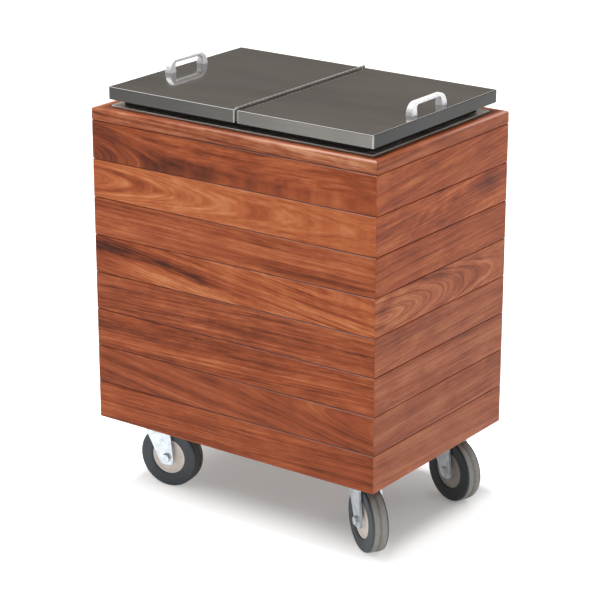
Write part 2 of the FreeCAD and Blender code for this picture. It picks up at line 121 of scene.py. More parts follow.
# Oiled jatoba, planed and sanded: satin, streaked red-brown, each board from another part of a log.
# A board carries its place in the log (along, across, depth from the pith, in metres), so bands of
# noise on the distance from the pith draw straight grain, flames and loops as sawn boards show them.
jatoba = {
    "brown": [(0.0, "#3f1b0d"), (0.25, "#6e3119"), (0.5, "#954725"), (0.75, "#b56339"), (1.0, "#cb8456")],
    "pink": [(0.0, "#45200f"), (0.25, "#703a20"), (0.5, "#985236"), (0.75, "#b07150"), (1.0, "#c89271")],
    "wearAndPaintedLight": "#d9c2bd",  # painted highlight along the upper arrises
    # cells per metre along the board and across the rings, then weight
    "layers": {
        "bands": (0.7, 1 / 0.024, 0.75),
        "streaks": (1.4, 1 / 0.0075, 0.62),
        "lines": (3.5, 1 / 0.0036, 0.62),
        "flecks": (22.0, 1 / 0.0028, 0.55),  # drawn coarser than the real 0.3 mm pores so that they show
        "clouds": (9.0, 1 / 0.040, 0.55),  # the soft cross mottle of interlocked grain
    },
    "detail": 5.0, "coarseness": 0.62,
    # the log isn't a true cone: cells per metre and swing in metres of a slow wander of its rings
    "wanderCells": (3.0, 6.0, 6.0), "wander": (0.0, 0.011, 0.011), "wanderDetail": 2.0,
    "roughness": (0.16, 0.30),  # gain by the flecks, and the least
    "relief": (0.2, 0.0003),  # strength, and height of the flecks in metres
    "ior": 1.5, "specular": 0.12,
}


def makeTimber():
    material, tree, shader = newMaterial("oiled jatoba boards")
    place = addNode(tree, "Attribute", attribute_name="logPlace").outputs["Vector"]
    board = addNode(tree, "Attribute", attribute_name="boardLook")
    split = addNode(tree, "SeparateColor", {"Color": board.outputs["Color"]})
    tone, pinkness, contrast = split.outputs["Red"], split.outputs["Green"], split.outputs["Blue"]

    slow = addNode(tree, "VectorMath", {0: place, 1: jatoba["wanderCells"]}, operation="MULTIPLY").outputs[0]
    wander = addNode(tree, "TexNoise", {"Vector": slow, "Scale": 1.0, "Detail": jatoba["wanderDetail"]})
    wander = addNode(tree, "VectorMath", {0: wander.outputs["Color"], 1: (0.5, 0.5, 0.5)}, operation="SUBTRACT")
    bent = addNode(tree, "VectorMath", {0: wander.outputs[0], 1: jatoba["wander"], 2: place}, operation="MULTIPLY_ADD")
    along, across, deep = addNode(tree, "SeparateXYZ", {"Vector": bent.outputs[0]}).outputs
    ring = addNode(tree, "CombineXYZ", {"X": across, "Y": deep})
    ring = addNode(tree, "VectorMath", {0: ring.outputs[0]}, operation="LENGTH").outputs["Value"]
    ringPlace = addNode(tree, "CombineXYZ", {"X": along, "Y": ring}).outputs[0]

    # each layer of noise lies around 0, and the weighted sum times the board's contrast is added to its tone
    total, layers = 0.0, {}
    for name, (lengthwise, radial, weight) in jatoba["layers"].items():
        at = addNode(tree, "VectorMath", {0: ringPlace, 1: (lengthwise, radial, 1.0)}, operation="MULTIPLY")
        noise = addNode(tree, "TexNoise", {"Vector": at.outputs[0], "Scale": 1.0, "Detail": jatoba["detail"],
                                           "Roughness": jatoba["coarseness"]})
        layers[name] = noise.outputs["Fac"]
        part = addNode(tree, "Math", {0: layers[name], 1: weight, 2: -weight / 2}, operation="MULTIPLY_ADD")
        total = addNode(tree, "Math", {0: part.outputs[0], 1: total}, operation="ADD").outputs[0]
    total = addNode(tree, "Math", {0: total, 1: contrast, 2: tone}, operation="MULTIPLY_ADD").outputs[0]
    shades = []
    for name in ("brown", "pink"):
        ramp = addNode(tree, "ValToRGB", {"Fac": total})
        fillRamp(ramp.color_ramp, jatoba[name])
        shades.append(ramp.outputs[0])
    colour = addNode(tree, "Mix", {"Factor": pinkness, 6: shades[0], 7: shades[1]}, data_type="RGBA")
    # the alpha mixes in a pale painted highlight on the arrises
    wearAndPaintedLight = {"Factor": board.outputs["Alpha"], 6: colour.outputs[2], 7: linear(jatoba["wearAndPaintedLight"])}
    colour = addNode(tree, "Mix", wearAndPaintedLight, data_type="RGBA")
    tree.links.new(colour.outputs[2], shader.inputs["Base Color"])

    gain, least = jatoba["roughness"]
    rough = addNode(tree, "Math", {0: layers["flecks"], 1: gain, 2: least}, operation="MULTIPLY_ADD")
    tree.links.new(rough.outputs[0], shader.inputs["Roughness"])
    strength, height = jatoba["relief"]
    relief = addNode(tree, "Bump", {"Strength": strength, "Distance": height, "Height": layers["flecks"]})
    tree.links.new(relief.outputs[0], shader.inputs["Normal"])
    shader.inputs["IOR"].default_value = jatoba["ior"]
    shader.inputs["Specular IOR Level"].default_value = jatoba["specular"]
    return material


timber = makeTimber()

# Each row is one board, top course first: tone (0.5 is middling), pinkness, contrast, then where the
# pith of its log lay: millimetres above the board's middle, millimetres behind its face, rise per metre,
# and a flame: its place along the board in metres, its half-length, and how near it brings the pith.
boards = {
    "bevel": 0.0018, "gap": 0.0008, "cornerEase": 0.001, "thickness": 0.020, "stations": 73, "faceRows": 9,
    "arrisSteps": 6, "sharpAngle": 40,
    "logStep": 7.31,  # metres between the places of two boards in their logs
    # painted shade under each seam, and how far up the bevel it reaches, in bevels
    "seamShade": {"front": 0.35, "right": 0.05, "back": 0.30, "left": 0.20}, "shadeReach": 0.6,
    # painted highlight on the upper arrises, and how far down and in it reaches, in bevels
    "wearAndPaintedLight": {"front": 0.40, "right": 0.05, "back": 0.25, "left": 0.15}, "highlightReach": (0.75, 0.9),
    # share of that painted highlight at a board's middle, its growth over the board's length, and the least
    "highlightShare": (0.4, 1.1, 0.05),
    # the rail on top, with the rows of its upper face in radii from the edge
    "railRound": 0.0045, "railSteps": 8, "railWidth": 0.060, "railRows": (2, 5),
    "railHighlight": 0.50, "railHighlightAt": (0.2, 0.35),  # strength of the painted highlight on the rail's rounded arris, then its middle below the top and its half-height, in radii
    "railShade": 0.32,  # drop in tone of the rail's top beside the flange
    # dark figure on some boards, by side and course: place along and up from the middle, half-length,
    # half-height, slope and depth; millimetres, and depth in tone
    "stains": {
        ("front", 0): [(-335, 0, 60, 60, 0, 0.20), (-76, -22, 160, 15, 0, 0.20), (215, -20, 150, 8, 0, 0.10),
                       (200, 22, 160, 14, 0, -0.08)],
        ("front", 1): [(-245, 14, 70, 7, -0.16, 0.18), (-140, -3, 80, 5, -0.08, 0.14), (-120, -13, 60, 6, -0.1, -0.10),
                       (230, 10, 110, 5, -0.14, 0.10), (240, -22, 110, 5, 0.10, 0.08)],
        ("front", 2): [(-108, 8, 10, 4, 0, 0.16), (-290, -26, 130, 9, 0, -0.14), (240, -26, 160, 9, -0.02, 0.12)],
        ("front", 3): [(-345, 26, 90, 24, -0.08, 0.40), (-350, -6, 90, 40, 0, 0.22), (-95, -2, 150, 9, -0.13, 0.56),
                       (-250, 18, 120, 9, -0.10, 0.26), (240, 6, 190, 50, 0, -0.10)],
        ("front", 4): [(44, -14, 130, 7, -0.03, 0.12), (270, -30, 130, 10, 0, -0.12)],
        ("front", 5): [(-250, 10, 120, 6, -0.04, 0.12), (-60, 20, 110, 5, -0.02, 0.08)],
        ("front", 6): [(-250, 8, 170, 9, -0.12, 0.14), (-120, -10, 150, 7, -0.12, 0.10)],
        ("front", 7): [(-200, 12, 120, 7, 0, -0.08), (100, -10, 160, 6, -0.02, 0.08)],
        ("right", 0): [(-160, -20, 120, 12, 0.15, 0.12)],
        ("right", 1): [(170, 16, 80, 24, 0.05, 0.24), (-80, -4, 24, 9, 0.5, 0.22), (-22, 4, 22, 8, 0.5, 0.20),
                       (36, 8, 26, 9, 0.4, 0.18), (-132, -12, 24, 8, 0.4, 0.18), (-60, 26, 130, 8, 0.0, -0.06)],
        ("right", 3): [(-205, 4, 28, 16, 0.2, 0.26), (60, 26, 120, 10, 0.0, 0.10)],
        ("right", 4): [(-150, 30, 150, 9, 0.04, 0.22), (20, 10, 90, 7, 0.06, 0.10)],
        ("right", 5): [(120, 24, 100, 10, 0.05, 0.12), (-120, -10, 120, 8, 0.0, 0.06)],
        ("right", 6): [(-100, 10, 60, 20, 0.2, 0.12), (40, -12, 50, 16, 0.2, 0.10)],
        ("front", "rail"): [(-170, -6.5, 250, 3.2, -0.012, 0.40), (200, 2, 160, 6, 0, -0.08)],
    },
    "front": [
        (0.48, 0.10, 1.32, -30, 70, 20, -0.40, 0.13, 46),
        (0.73, 0.00, 1.30, 2, 62, 0, -0.50, 0.45, 42),
        (0.58, 0.20, 1.10, 70, 40, -20, 0.0, 0.3, 0),
        (0.69, 0.05, 1.55, 60, 30, -120, 0.2, 0.3, 8),
        (0.45, 0.25, 1.40, -60, 45, 20, 0.0, 0.3, 0),
        (0.46, 0.15, 1.35, 55, 30, 30, 0.0, 0.3, 0),
        (0.45, 0.25, 0.95, 60, 45, -130, 0.38, 0.25, 20),
        (0.47, 0.15, 1.15, -80, 30, 10, 0.0, 0.3, 0),
    ],
    "right": [
        (0.60, 0.00, 1.20, 55, 35, 100, 0.0, 0.3, 0),
        (0.61, 0.00, 1.35, 60, 45, 70, 0.0, 0.3, 0),
        (0.51, 0.05, 1.15, 60, 45, 30, 0.0, 0.3, 0),
        (0.63, 0.40, 1.70, -4, 66, 0, -0.22, 0.24, 58),
        (0.53, 0.65, 1.20, 52, 25, 30, 0.0, 0.3, 0),
        (0.60, 0.70, 1.10, -60, 50, 0, 0.0, 0.3, 0),
        (0.52, 0.75, 0.90, 55, 45, 40, 0.0, 0.3, 0),
        (0.56, 0.70, 0.85, -70, 40, -30, 0.0, 0.3, 0),
    ],
    "back": [
        (0.50, 0.35, 0.80, 60, 40, 20, 0.0, 0.3, 0),
        (0.42, 0.50, 1.00, -8, 70, 0, 0.30, 0.2, 64),
        (0.57, 0.20, 0.80, -60, 45, 15, 0.0, 0.3, 0),
        (0.47, 0.45, 1.10, 40, 30, -80, 0.0, 0.3, 0),
        (0.52, 0.30, 0.70, 66, 50, 10, 0.0, 0.3, 0),
        (0.40, 0.55, 1.10, 0, 62, 10, -0.30, 0.25, 58),
        (0.54, 0.25, 0.80, -55, 35, -25, 0.0, 0.3, 0),
        (0.46, 0.40, 0.90, 50, 40, 40, 0.0, 0.3, 0),
    ],
    "left": [
        (0.46, 0.45, 0.90, -60, 40, 20, 0.0, 0.3, 0),
        (0.55, 0.30, 1.00, 4, 60, 20, 0.12, 0.2, 55),
        (0.43, 0.55, 0.80, 64, 45, -20, 0.0, 0.3, 0),
        (0.51, 0.35, 1.20, 38, 28, 90, 0.0, 0.3, 0),
        (0.58, 0.20, 0.70, -62, 48, 0, 0.0, 0.3, 0),
        (0.45, 0.50, 1.00, -6, 64, -20, -0.18, 0.2, 60),
        (0.50, 0.40, 0.80, 58, 38, 30, 0.0, 0.3, 0),
        (0.42, 0.60, 0.90, -50, 32, -30, 0.0, 0.3, 0),
    ],
    "rail": [
        (0.63, 0.75, 1.70, 30, 40, -30, 0.0, 0.3, 0),
        (0.49, 0.50, 1.00, 26, 30, 30, 0.0, 0.3, 0),
        (0.48, 0.60, 0.80, -30, 40, 20, 0.0, 0.3, 0),
        (0.53, 0.55, 0.75, 30, 36, -20, 0.0, 0.3, 0),
    ],
}


# quarter arc of a rounded arris: centre, radius, from and to angle in degrees, as (depth, height) rows
def arris(depth, height, radius, start, end, steps):
    a = np.radians(np.linspace(start, end, steps))
    return np.stack([depth + radius * np.cos(a), height + radius * np.sin(a)], axis=1)


# A mitred stick: its profile (depth behind the face, height) is carried along the face from mitre to
# mitre, each point stopping its own depth short of the corner, with the corner's arris eased. A stain
# lowers the tone by a bell curve along the stick times one across its slope.
def mitredStick(profile, length, halfSpan, turn, row, stains, seed, paintedShade, wearAndPaintedLight):
    depth, height = profile[:, 0], profile[:, 1]
    ease = boards["cornerEase"]
    inner = length / 2 - depth - ease
    tipDepth = np.maximum(depth, ease / 2)
    tip = length / 2 - tipDepth
    share = np.linspace(-1, 1, boards["stations"])[:, None]
    count = len(share) + 2
    x = np.concatenate([-tip[None], share * inner[None], tip[None]]).ravel()
    d = np.concatenate([tipDepth[None], np.repeat(depth[None], len(share), 0), tipDepth[None]]).ravel()
    h = np.tile(height, count)
    y = d - halfSpan
    c, k = round(math.cos(turn)), round(math.sin(turn))
    points = np.stack([c * x - k * y, k * x + c * y, h], axis=1)

    tone, pink, contrast, above, behind, rise, flameAt, flameHalf, flame = row
    middle = (height.min() + height.max()) / 2
    # painted shade under the seams and beside the flange lowers the tone
    tone = tone - np.tile(paintedShade, count)
    for at, up, halfLong, halfHigh, slope, drop in stains:
        off = (h - middle) * 1000 - up - slope * (x * 1000 - at)
        tone -= drop * np.exp(-(((x * 1000 - at) / halfLong) ** 2) - (off / halfHigh) ** 2)
    pull = flame * np.exp(-(((x - flameAt) / flameHalf) ** 2))
    across = h - middle - (above + rise * x) / 1000
    deep = d + (behind - pull) / 1000
    logPlace = np.stack([x + boards["logStep"] * seed, across, deep], axis=1)
    atMiddle, growth, least = boards["highlightShare"]
    # painted highlight along the upper arrises, stronger towards one end of the stick
    paintedHighlight = np.tile(wearAndPaintedLight, count) * np.clip(atMiddle + growth * x / length, least, 1.0)
    flat = np.ones(x.shape)
    boardLook = np.stack([tone, pink * flat, contrast * flat, paintedHighlight], axis=1)
    return points, tubeFaces(len(profile), count), logPlace, boardLook


# sticks as one mesh: their arrays end to end, and each stick's faces moved on by the points before it
def joinSticks(sticks):
    starts = np.cumsum([0] + [len(s[0]) for s in sticks])
    faces = [[v + int(start) for v in f] for s, start in zip(sticks, starts) for f in s[1]]
    points, logPlace, boardLook = (np.concatenate([s[i] for s in sticks]) for i in (0, 2, 3))
    return points, faces, {"logPlace": logPlace, "boardLook": boardLook}


# Four sides of stacked boards under a mitred frame. A board's profile goes from its back foot round the
# lower arris, up the face, round the upper arris and to its back head; a rail's does too, with a fuller
# upper arris and a flat top.
def makeCladding():
    low, high = (np.array(v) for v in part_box("front_boards"))
    railLow, railHigh = (np.array(v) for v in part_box("top_frame"))
    width, depth = high[0] - low[0], railHigh[1] - railLow[1]
    courses = len(boards["front"])
    tall = (high[2] - low[2]) / courses
    b, t, g, steps = boards["bevel"], boards["thickness"], boards["gap"] / 2, boards["arrisSteps"]
    highlightDown, highlightIn = (share * b for share in boards["highlightReach"])
    r, deep = boards["railRound"], boards["railWidth"]
    edge, inside = (share * r for share in boards["railRows"])
    highlightMiddle, highlightHalf = (share * r for share in boards["railHighlightAt"])
    sides = {"front": (width, depth / 2, 0), "right": (depth, width / 2, 90), "back": (width, depth / 2, 180),
             "left": (depth, width / 2, 270)}
    rails = []
    for number, (side, (length, halfSpan, degrees)) in enumerate(sides.items()):
        turn = math.radians(degrees)
        sticks = []
        for course, row in enumerate(boards[side]):
            foot = high[2] - (course + 1) * tall + g
            head = foot + tall - 2 * g
            rows = np.linspace(foot + b, head - b, boards["faceRows"])[1:-1]
            profile = np.concatenate([
                [[t, foot]], arris(b, foot + b, b, -90, -180, steps), np.stack([0 * rows, rows], axis=1),
                arris(b, head - b, b, 180, 90, steps), [[t, head]]])
            stains = boards["stains"].get((side, course), [])
            # painted shade along each board's lower arris, under the seam
            paintedShade = boards["seamShade"][side] * (profile[:, 1] < foot + boards["shadeReach"] * b)
            # painted highlight on each board's upper arris
            wearAndPaintedLight = boards["wearAndPaintedLight"][side] * (profile[:, 1] > head - highlightDown) * (profile[:, 0] < highlightIn)
            seed = number * 10 + course
            sticks.append(mitredStick(profile, length, halfSpan, turn, row, stains, seed, paintedShade, wearAndPaintedLight))
        points, faces, values = joinSticks(sticks)
        addPiece(side + "Boards", points, faces, timber, "cart", [side + "_boards"], values,
                 boards["sharpAngle"])

        foot, head = railLow[2] + g, railHigh[2]
        profile = np.concatenate([
            [[deep, foot]], arris(b, foot + b, b, -90, -180, steps),
            arris(r, head - r, r, 180, 90, boards["railSteps"]), [[edge, head], [inside, head], [deep, head]]])
        stains = boards["stains"].get((side, "rail"), [])
        # painted shade under the rail's seam, and the lids' painted shadow on its top beside the flange
        paintedShade = boards["seamShade"][side] * (profile[:, 1] < foot + boards["shadeReach"] * b)
        paintedShade = paintedShade + boards["railShade"] * (profile[:, 0] > edge)
        # painted highlight along the rail's rounded arris
        wearAndPaintedLight = boards["railHighlight"] * np.exp(-(((profile[:, 1] - head + highlightMiddle) / highlightHalf) ** 2))
        wearAndPaintedLight = wearAndPaintedLight * (profile[:, 0] < edge)
        row, seed = boards["rail"][number], 50 + number
        rails.append(mitredStick(profile, length, halfSpan, turn, row, stains, seed, paintedShade, wearAndPaintedLight))
    points, faces, values = joinSticks(rails)
    addPiece("topFrame", points, faces, timber, "cart", ["top_frame"], values, boards["sharpAngle"])
    print("cladding:", 4 * courses, "boards and", len(rails), "rails")


makeCladding()

# Stainless sheet with a fine grit line: a grey that blurs what it mirrors, with a painted highlight on its folds and
# painted shade on its skirts. Rows: name, colour, roughness, metallic, film of polish, buckle in metres.
sheets = {
    "lid": ("brushed stainless lid sheet, weathered", "#6f6a64", 0.15, 1.0, 1.0, 0.006),
    "leaf": ("rolled stainless hinge strip", "#9a9792", 0.40, 0.4, 0.0, 0.0),
    # the same hinge strip again, painted darker for the shade between the knuckles
    "shadedLeaf": ("rolled stainless hinge strip, painted shade", "#827f7a", 0.40, 0.4, 0.0, 0.0),
    "bin": ("mill-finish stainless bin sheet", "#c9c6c0", 0.42, 1.0, 0.0, 0.003),
}
brushing = {
    "lineWidth": 0.0012,  # real grit lines are 0.1 mm; drawn wider so that they show
    "lineCells": 4,  # per metre along a line
    "smearCells": (4, 9, 9),  # per metre, a hand's wipe
    "detail": 3.0,
    "sideways": 0.7,  # faces that look further than this to left or right are brushed from front to back
    "lineShade": (0.9, 0.55), "smearShade": (1.1, -0.55),  # gain, and what is added
    # colours painted on the sheet: a near-black shade on the skirts and a pale highlight on the folds
    "skirtShade": "#0c0b0a", "paintedLight": "#e4e4e6",
    "lineRough": 0.16, "smearRough": 0.16, "highlightRough": 0.6,
    "waveCells": (1.7, 2.7, 0), "waveDetail": 1.0,  # per metre: the sheet isn't quite flat
    "ripple": 0.12,  # share of the smears in those waves
    "coatLoss": 0.6, "coatRoughness": 0.03, "coatIor": 1.8,
}


def makeSteel(name, colour, roughness, metallic, film, buckle):
    material, tree, shader = newMaterial(name)
    fine, long = 1 / brushing["lineWidth"], brushing["lineCells"]
    coordinates = addNode(tree, "TexCoord").outputs
    place = coordinates["Object"]
    normal = addNode(tree, "SeparateXYZ", {"Vector": coordinates["Normal"]}).outputs
    sideways = addNode(tree, "Math", {0: normal["X"]}, operation="ABSOLUTE").outputs[0]
    sideways = addNode(tree, "Math", {0: sideways, 1: brushing["sideways"]}, operation="GREATER_THAN").outputs[0]
    lengthwise = addNode(tree, "VectorMath", {0: place, 1: (long, fine, fine)}, operation="MULTIPLY").outputs[0]
    crosswise = addNode(tree, "VectorMath", {0: place, 1: (fine, long, fine)}, operation="MULTIPLY").outputs[0]
    at = addNode(tree, "Mix", {"Factor": sideways, 4: lengthwise, 5: crosswise}, data_type="VECTOR").outputs[1]
    wide = addNode(tree, "VectorMath", {0: place, 1: brushing["smearCells"]}, operation="MULTIPLY").outputs[0]
    lines, smears = (
        addNode(tree, "TexNoise", {"Vector": vector, "Scale": 1.0, "Detail": brushing["detail"]}).outputs["Fac"]
        for vector in (at, wide))

    # lines and smears vary the sheet's tone; painted shade (green) darkens it and a painted highlight (red) brightens
    # it
    gain, least = brushing["lineShade"]
    shade = addNode(tree, "Math", {0: lines, 1: gain, 2: least}, operation="MULTIPLY_ADD").outputs[0]
    gain, least = brushing["smearShade"]
    cloud = addNode(tree, "Math", {0: smears, 1: gain, 2: least}, operation="MULTIPLY_ADD").outputs[0]
    shade = addNode(tree, "Math", {0: shade, 1: cloud}, operation="ADD").outputs[0]
    base = addNode(tree, "Mix", {"Factor": 1.0, 6: linear(colour), 7: shade}, data_type="RGBA", blend_type="MULTIPLY")
    paintedLightMarks = addNode(tree, "Attribute", attribute_name="paintedLight").outputs["Color"]
    paintedLightMarks = addNode(tree, "SeparateColor", {"Color": paintedLightMarks}).outputs
    for channel, key in (("Green", "skirtShade"), ("Red", "paintedLight")):
        wires = {"Factor": paintedLightMarks[channel], 6: base.outputs[2], 7: linear(brushing[key])}
        base = addNode(tree, "Mix", wires, data_type="RGBA")
    tree.links.new(base.outputs[2], shader.inputs["Base Color"])
    rough = roughness - brushing["lineRough"]
    for source, key in ((lines, "lineRough"), (smears, "smearRough"), (paintedLightMarks["Red"], "highlightRough")):
        rough = addNode(tree, "Math", {0: source, 1: brushing[key], 2: rough}, operation="MULTIPLY_ADD").outputs[0]
    tree.links.new(rough, shader.inputs["Roughness"])
    shader.inputs["Metallic"].default_value = metallic

    # waves a hand wide bend what the sheet mirrors
    if buckle:
        waves = addNode(tree, "VectorMath", {0: place, 1: brushing["waveCells"]}, operation="MULTIPLY").outputs[0]
        waves = addNode(tree, "TexNoise", {"Vector": waves, "Scale": 1.0, "Detail": brushing["waveDetail"]})
        wires = {0: smears, 1: brushing["ripple"], 2: waves.outputs["Fac"]}
        waves = addNode(tree, "Math", wires, operation="MULTIPLY_ADD").outputs[0]
        relief = addNode(tree, "Bump", {"Strength": 1.0, "Distance": buckle, "Height": waves}).outputs[0]
        tree.links.new(relief, shader.inputs["Normal"])
        tree.links.new(relief, shader.inputs["Coat Normal"])
    # the film of polish that is wiped over it gives a crisp mirror on the brushing, less so where the skirts carry
    # painted shade
    if film:
        wires = {0: paintedLightMarks["Green"], 1: -brushing["coatLoss"] * film, 2: film}
        coat = addNode(tree, "Math", wires, operation="MULTIPLY_ADD").outputs[0]
        tree.links.new(coat, shader.inputs["Coat Weight"])
        shader.inputs["Coat Roughness"].default_value = brushing["coatRoughness"]
        shader.inputs["Coat IOR"].default_value = brushing["coatIor"]
    return material


# A small set of plain finishes, each with a mottle that sets its tone and its roughness.
# Rows: name, colour, second colour, mottle in metres, roughness, metallic, bump in metres.
finishes = {
    "polished_aluminium": ("cast aluminium pull, bead-blasted", "#ffffff", "#f4f4fb", 0.004, 0.34, 0.35, 0.00003),
    "zinc": ("bright zinc plate on pressed steel", "#dee5ea", "#bfc8d0", 0.014, 0.30, 0.60, 0.00001),
    "brass": ("plated brass fitting, turned", "#b08d57", "#94733f", 0.004, 0.32, 1.0, 0.00002),
    "black_rubber": ("black EPDM gasket, extruded", "#141414", "#1d1c1b", 0.003, 0.75, 0.0, 0.0001),
    "foam": ("polyurethane foam, cut", "#d9cfae", "#c8bb93", 0.0015, 0.95, 0.0, 0.0004),
    "softwood": ("pine post, planed", "#c49a63", "#a97c48", 0.004, 0.6, 0.0, 0.0002),
    "plywood": ("birch plywood, sealed", "#6e5640", "#5b4632", 0.006, 0.5, 0.0, 0.0002),
}
# where the mottle's two colours lie on its noise, the swing of the roughness and the bump's strength
mottling = {"detail": 3.0, "stops": (0.35, 0.65), "roughSwing": 0.12, "bump": 0.3}


def makeFinish(name, colour, second, mottle, roughness, metallic, bump):
    material, tree, shader = newMaterial(name)
    place = addNode(tree, "TexCoord").outputs["Object"]
    grain = addNode(tree, "TexNoise", {"Vector": place, "Scale": 1 / mottle, "Detail": mottling["detail"]})
    grain = grain.outputs["Fac"]
    ramp = addNode(tree, "ValToRGB", {"Fac": grain})
    fillRamp(ramp.color_ramp, list(zip(mottling["stops"], (second, colour))))
    tree.links.new(ramp.outputs[0], shader.inputs["Base Color"])
    swing = mottling["roughSwing"]
    rough = addNode(tree, "Math", {0: grain, 1: swing, 2: roughness - swing / 2}, operation="MULTIPLY_ADD")
    tree.links.new(rough.outputs[0], shader.inputs["Roughness"])
    relief = addNode(tree, "Bump", {"Strength": mottling["bump"], "Distance": bump, "Height": grain})
    tree.links.new(relief.outputs[0], shader.inputs["Normal"])
    shader.inputs["Metallic"].default_value = metallic
    return material


# a slot's finish on each CAD node that stays, or the node's own sheet
slotLooks = {slot: makeFinish(*row) for slot, row in finishes.items()}
steels = {name: makeSteel(*row) for name, row in sheets.items()}
slotLooks["stainless"] = steels["lid"]
nodeLooks = {name: steels["bin"] for name in ("ice_bin", "drain_cup", "left_lid_liner", "right_lid_liner")}
nodeLooks.update({"left_hinge_leaf": steels["leaf"], "right_hinge_leaf": steels["shadedLeaf"]})
for part in frame["record"]["subparts"]:
    look = nodeLooks.get(part["node"], slotLooks.get(part["material_slot"]))
    if look:
        for place in nodes[part["node"]].material_slots:
            place.material = look
print("finishes:", len(finishes) + len(sheets))

# Lid pans of folded sheet. A painted-light attribute marks in red a painted highlight on the folds, and in green
# painted shade on the skirts.
pans = {
    "fold": 0.002, "sheet": 0.0012, "margin": 0.0015, "steps": 7, "sharpAngle": 50,
    "leastRound": 0.0001,  # left at the corners of the inner rings
    "topEdge": 0.002, "skirtEdge": 0.0015,  # rings that keep the fold's shading off the top and the skirt
    "foldHighlight": 0.34, "cornerHighlight": 0.36,
    "shadeFrom": 57,  # degrees down the fold at which the painted shade starts
    # share of the painted highlight on the folds towards +X, +Y, -X and -Y, and the painted shade of those skirts at
    # the end that comes last, anticlockwise from above, and at the other
    "left": (0.9, 0.3, 0.15, 1.0), "right": (0.15, 0.3, 0.9, 1.0),
    "leftSkirtShade": ((0.5, 0.5), (0.45, 0.45), (0.5, 0.5), (0.70, 0.84)),
    "rightSkirtShade": ((0.96, 1.0), (0.45, 0.45), (0.5, 0.5), (0.22, 0.50)),
}


# Rings of a rounded rectangle, one for each row (inset, level, painted highlight, corner share, painted shade): a
# quarter arc with a straight margin at both ends, turned to the four corners in order.
def panRings(low, high, rows, shares, skirtShade):
    inset, level, paintedLight, corner, shadeShare = (v[:, None] for v in np.array(rows).T)
    middle, half = (low + high) / 2, (high - low) / 2
    a = np.radians(np.linspace(0, 90, pans["steps"]))
    c, k = np.concatenate([[1], np.cos(a), [0]]), np.concatenate([[0], np.sin(a), [1]])
    before, after = np.zeros(len(c)), np.zeros(len(c))
    before[0] = after[-1] = pans["margin"]
    firstHalf = np.arange(len(c)) < len(c) / 2
    r = np.maximum(pans["fold"] - inset, pans["leastRound"])
    points, bright, shadeRows = [], [], []
    for quarter in range(4):
        following = (quarter + 1) % 4
        wide, deep = (half[0], half[1]) if quarter % 2 == 0 else (half[1], half[0])
        u = wide - inset - r * (1 - c) - after
        v = deep - inset - r * (1 - k) - before
        cos, sin = round(math.cos(quarter * math.pi / 2)), round(math.sin(quarter * math.pi / 2))
        points.append(np.stack([middle[0] + cos * u - sin * v, middle[1] + sin * u + cos * v, level + 0 * u], axis=-1))
        share = np.linspace(shares[quarter], shares[following], len(c))
        atCorner = (before + after == 0) * pans["cornerHighlight"] * max(shares[quarter], shares[following])
        bright.append(np.maximum(paintedLight * share, corner * atCorner))
        shadeRows.append(shadeShare * np.where(firstHalf, skirtShade[quarter][0], skirtShade[following][1]))
    return (np.concatenate(arrays, axis=1) for arrays in (points, bright, shadeRows))


# A pan is those rings carried from the flat top out over the fold, a quarter arc, down the skirt, under its
# raw edge and up the inside.
def makeLidPans():
    f, t = pans["fold"], pans["sheet"]
    a = np.radians(np.linspace(0, 90, pans["steps"]))
    for side in ("left", "right"):
        low, high = (np.array(v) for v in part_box(side + "_lid_pan"))
        top = high[2]
        fold = np.stack([f * (1 - np.sin(a)), top - f * (1 - np.cos(a)), pans["foldHighlight"] * np.sin(2 * a) ** 2,
                         0 * a + 1, a > math.radians(pans["shadeFrom"])], axis=1)
        rows = [(f + pans["topEdge"], top, 0, 0, 0), *fold, (0, top - f - pans["skirtEdge"], 0, 1, 1),
                (0, low[2], 0, 1, 1), (t, low[2], 0, 0, 1), (t, top - t, 0, 0, 0)]
        points, bright, shadeShare = panRings(low, high, rows, pans[side], pans[side + "SkirtShade"])
        none = np.zeros(bright.size)
        paintedLightMarks = np.stack([bright.ravel(), shadeShare.ravel(), none, none + 1], axis=1)
        addPiece(side + "LidPan", points.reshape(-1, 3), tubeFaces(points.shape[1], len(rows)), steels["lid"],
                 side + "_lid", [side + "_lid_pan"], {"paintedLight": paintedLightMarks}, pans["sharpAngle"])
    print("lid pans: 2")


makeLidPans()

# The wheels' two mouldings. Noise added to the wear that a piece carries (red) picks the colour on a ramp, and dark
# soil with painted shade (green) covers it. The moulded rubber has dark sides, and a tread that is worn pale and
# dusty; the moulded nylon centre has a light bloom of dust towards the rim.
mouldings = {
    "tyre": {
        "name": "moulded grey rubber",
        "cells": 160.0, "detail": 4.0, "coarseness": 0.65, "swing": 0.5,  # cells per metre: specks of 6 mm
        "ramp": [(0.0, "#33393f"), (0.3, "#40474e"), (0.75, "#868580"), (1.0, "#9a9993")], "soilAndShade": "#14171a",
        "roughBy": "wear", "roughness": (0.3, 0.5), "relief": (0.4, 0.0003),
    },
    "hub": {
        "name": "moulded beige nylon",
        "cells": 90.0, "detail": 3.0, "coarseness": 0.5, "swing": 0.6,  # cells per metre: clouds of 11 mm
        "ramp": [(0.0, "#ded2c8"), (0.5, "#f2e8df"), (1.0, "#f9f2ec")], "soilAndShade": "#4a4336",
        "roughBy": "noise", "roughness": (0.2, 0.42), "relief": (0.2, 0.0002),
    },
}


